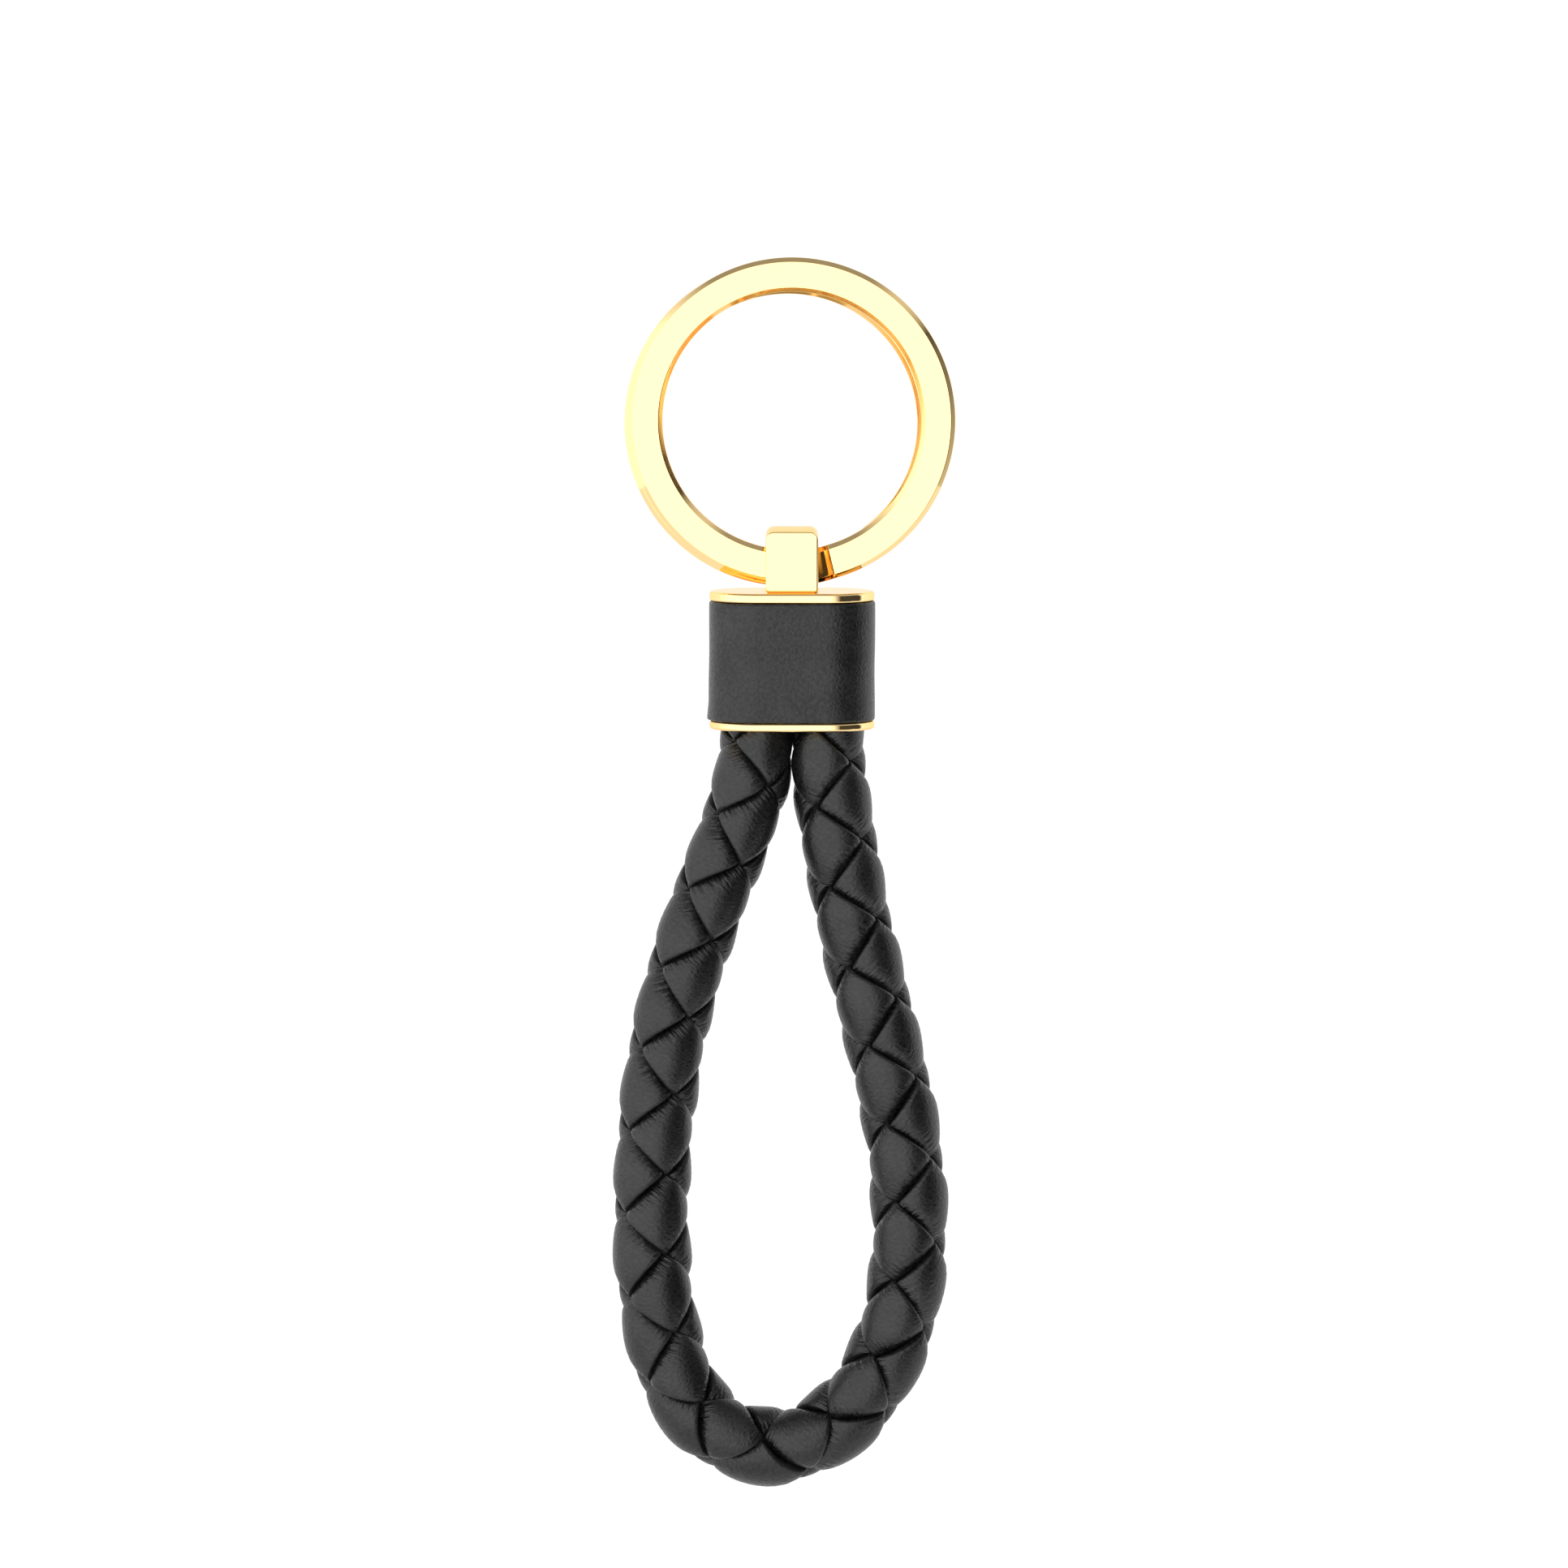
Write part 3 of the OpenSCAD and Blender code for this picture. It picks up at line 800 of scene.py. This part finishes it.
def braid_leather():
    """Nappa of the strands: grain on their own UV map, with fine creases where they tuck in."""
    material, tree, shader = new_material("braid_leather")
    place = add(tree, "ShaderNodeUVMap", uv_map="along_and_across")
    grain = placed(tree, LEATHER_GRAIN, place.outputs[0], BRAID_GRAIN)
    tuck = add(tree, "ShaderNodeAttribute", attribute_name="tuck")
    stretch = add(tree, "ShaderNodeMapping")
    stretch.inputs["Scale"].default_value = CREASE_STRETCH
    tree.links.new(place.outputs[0], stretch.inputs["Vector"])
    crease = add(tree, "ShaderNodeTexNoise", input_2=1.0, input_3=2.0, input_4=0.5)
    tree.links.new(stretch.outputs[0], crease.inputs["Vector"])
    folds = maths(tree, "MULTIPLY", crease.outputs[0],
                  maths(tree, "MULTIPLY", tuck.outputs["Fac"], FOLD_HEIGHT))
    height = maths(tree, "ADD", maths(tree, "MULTIPLY", grain.outputs["Height"], 0.6), folds)
    tone = ranged(tree, grain.outputs["Tone"], *TONE_SPAN, 0, 1)
    tree.links.new(mixed(tree, tone, (0.0, 0.0, 0.0), (0.014, 0.014, 0.0142)),
                   shader.inputs["Base Color"])
    tree.links.new(ranged(tree, grain.outputs["Height"], *HEIGHT_SPAN, 0.4, 0.26),
                   shader.inputs["Roughness"])
    bumped(tree, shader, height, 0.7, 0.1 * MM)
    shader.inputs["Specular IOR Level"].default_value = 0.46
    return material


# %% Metals, thread and adhesive
WEAR_SCALE, WEAR_DEPTH = 260, 0.02 * MM


def worn_metal(name, colour, edge, rough_low, rough_high, bump):
    """Metal with one colour seen square on and one at its edges; its gloss changes slowly."""
    material, tree, shader = new_material(name)
    place = add(tree, "ShaderNodeTexCoord")
    wear = placed(tree, FINE_WEAR, place.outputs["Object"], WEAR_SCALE)
    tree.links.new(ranged(tree, wear.outputs["Smear"], 0.3, 0.7, rough_low, rough_high),
                   shader.inputs["Roughness"])
    bumped(tree, shader, wear.outputs["Height"], bump, WEAR_DEPTH)
    shader.inputs["Base Color"].default_value = (*colour, 1)
    shader.inputs["Specular Tint"].default_value = (*edge, 1)
    shader.inputs["Metallic"].default_value = 1
    return material


def waxed_thread():
    """Dark waxed thread, with its strands as a fine diagonal ripple."""
    material, tree, shader = new_material("waxed_thread")
    place = add(tree, "ShaderNodeTexCoord")
    ripple = add(tree, "ShaderNodeTexNoise", input_2=4000.0, input_3=2.0)
    tree.links.new(place.outputs["Object"], ripple.inputs["Vector"])
    tree.links.new(mixed(tree, ripple.outputs[0], (0.02, 0.02, 0.02), (0.06, 0.06, 0.06)),
                   shader.inputs["Base Color"])
    bumped(tree, shader, ripple.outputs[0], 0.5, 0.03 * MM)
    shader.inputs["Roughness"].default_value = 0.55
    return material


def set_adhesive():
    """Amber adhesive that has set hard, a little cloudy."""
    material, tree, shader = new_material("set_adhesive")
    place = add(tree, "ShaderNodeTexCoord")
    cloud = add(tree, "ShaderNodeTexNoise", input_2=600.0, input_3=3.0)
    tree.links.new(place.outputs["Object"], cloud.inputs["Vector"])
    tree.links.new(mixed(tree, cloud.outputs[0], (0.55, 0.4, 0.16), (0.78, 0.62, 0.34)),
                   shader.inputs["Base Color"])
    shader.inputs["Roughness"].default_value = 0.25
    return material


GOLD = worn_metal("gold_plate", (1.0, 0.73, 0.35), (1.0, 0.85, 0.62), 0.05, 0.11, 0.06)
BRASS = worn_metal("raw_brass", (0.72, 0.5, 0.22), (0.9, 0.8, 0.6), 0.25, 0.4, 0.3)
FINISHES = {braided_cord: braid_leather(), leather_strip: wrap_leather(), gold_cap: GOLD,
            gold_rim: GOLD, gold_bail: GOLD, gold_ring: GOLD}
THREAD = waxed_thread()
FINISHES.update({piece: THREAD for piece in whippings})
for piece, finish in FINISHES.items():
    piece.data.materials.clear()
    piece.data.materials.append(finish)
for node, finish in (("inner_sleeve", BRASS), ("glue_plug", set_adhesive())):
    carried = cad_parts[node]
    for slot in carried.material_slots:
        slot.material = finish
print("materials:", sorted({m.name for m in FINISHES.values()}))

# %% [markdown]
# ## Stage and light
# The set is a pale sweep: a floor under the hanging loop that curves up behind it. Its paper
# glows a little, so it stays white while the tent is set for the object alone. The light is a
# tent that is bright in front, dimmer straight overhead, and has one nearly black card at the
# front right. The card draws the dark stripe down the collar's shoulder and along the strands.

# %% Sweep
FLOOR_DROP = 0.07
SWEEP_BACK, SWEEP_FRONT, SWEEP_HALF_W, SWEEP_ROUND, SWEEP_HIGH = 1.3, -0.12, 0.35, 0.4, 1.6
floor_z = CAD_BOX[0][2] - FLOOR_DROP


def sweep_piece():
    """Floor, quarter circle and wall as one profile carried straight across."""
    bend = np.linspace(0, math.pi / 2, 24)
    y = np.concatenate([[SWEEP_FRONT], SWEEP_BACK - SWEEP_ROUND + SWEEP_ROUND * np.sin(bend),
                        [SWEEP_BACK]])
    z = np.concatenate([[floor_z], floor_z + SWEEP_ROUND - SWEEP_ROUND * np.cos(bend),
                        [floor_z + SWEEP_HIGH]])
    x = np.array([-SWEEP_HALF_W, SWEEP_HALF_W])
    points = np.stack(np.broadcast_arrays(x[None, :], y[:, None], z[:, None]), axis=-1)
    return grid_piece("sweep", points, wrap_columns=False, capped=False)


sweep = sweep_piece()
sweep_material, _, paper = new_material("white_paper")
paper.inputs["Base Color"].default_value = (0.2, 0.2, 0.2, 1)
paper.inputs["Roughness"].default_value = 0.9
paper.inputs["Emission Color"].default_value = (1, 1, 1, 1)
paper.inputs["Emission Strength"].default_value = 0.85
sweep.data.materials.append(sweep_material)

# %% Tent light
TENT_FRONT, TENT_BACK, TENT_TOP, TENT_CARD = 1.9, 1.2, 0.35, 0.06
SIDE_BLEND, OVERHEAD_BLEND = (-0.3, 0.3), (0.5, 0.85)
CARD_LEFT, CARD_RIGHT, CARD_TOP = (0.2, 0.6), (1.55, 1.7), (0.5, 0.75)


def tent_world():
    """Brightness by direction: front half bright, overhead dim, a dark card at the front right.

    The card is a window in bearing, atan2(x, -y) in radians, with soft edges; it fades out with
    height. The camera itself sees plain white.
    """
    world = bpy.data.worlds.new("tent")
    world.use_nodes = True
    tree = world.node_tree
    place = add(tree, "ShaderNodeTexCoord")
    axes = add(tree, "ShaderNodeSeparateXYZ")
    tree.links.new(place.outputs["Generated"], axes.inputs[0])
    x, y, z = axes.outputs
    base = ranged(tree, y, *SIDE_BLEND, TENT_FRONT, TENT_BACK)
    overhead = ranged(tree, z, *OVERHEAD_BLEND, 0, 1)
    bearing = maths(tree, "ARCTAN2", x, maths(tree, "MULTIPLY", y, -1.0))
    card = maths(tree, "MULTIPLY", ranged(tree, bearing, *CARD_LEFT, 0, 1),
                 ranged(tree, bearing, *CARD_RIGHT, 1, 0))
    card = maths(tree, "MULTIPLY", card,
                 ranged(tree, maths(tree, "ABSOLUTE", z), *CARD_TOP, 1, 0))
    lit = add(tree, "ShaderNodeMix", data_type="FLOAT")
    tree.links.new(overhead, lit.inputs[0])
    tree.links.new(base, lit.inputs[2])
    lit.inputs[3].default_value = TENT_TOP
    carded = add(tree, "ShaderNodeMix", data_type="FLOAT")
    tree.links.new(card, carded.inputs[0])
    tree.links.new(lit.outputs[0], carded.inputs[2])
    carded.inputs[3].default_value = TENT_CARD
    seen = add(tree, "ShaderNodeMix", data_type="FLOAT")
    rays = add(tree, "ShaderNodeLightPath")
    tree.links.new(rays.outputs["Is Camera Ray"], seen.inputs[0])
    tree.links.new(carded.outputs[0], seen.inputs[2])
    seen.inputs[3].default_value = 1.0
    tree.nodes["Background"].inputs["Color"].default_value = (1, 1, 1, 1)
    tree.links.new(seen.outputs[0], tree.nodes["Background"].inputs["Strength"])
    return world


bpy.context.scene.world = tent_world()
bpy.context.scene.view_settings.view_transform = "Standard"
print("stage and light are set")
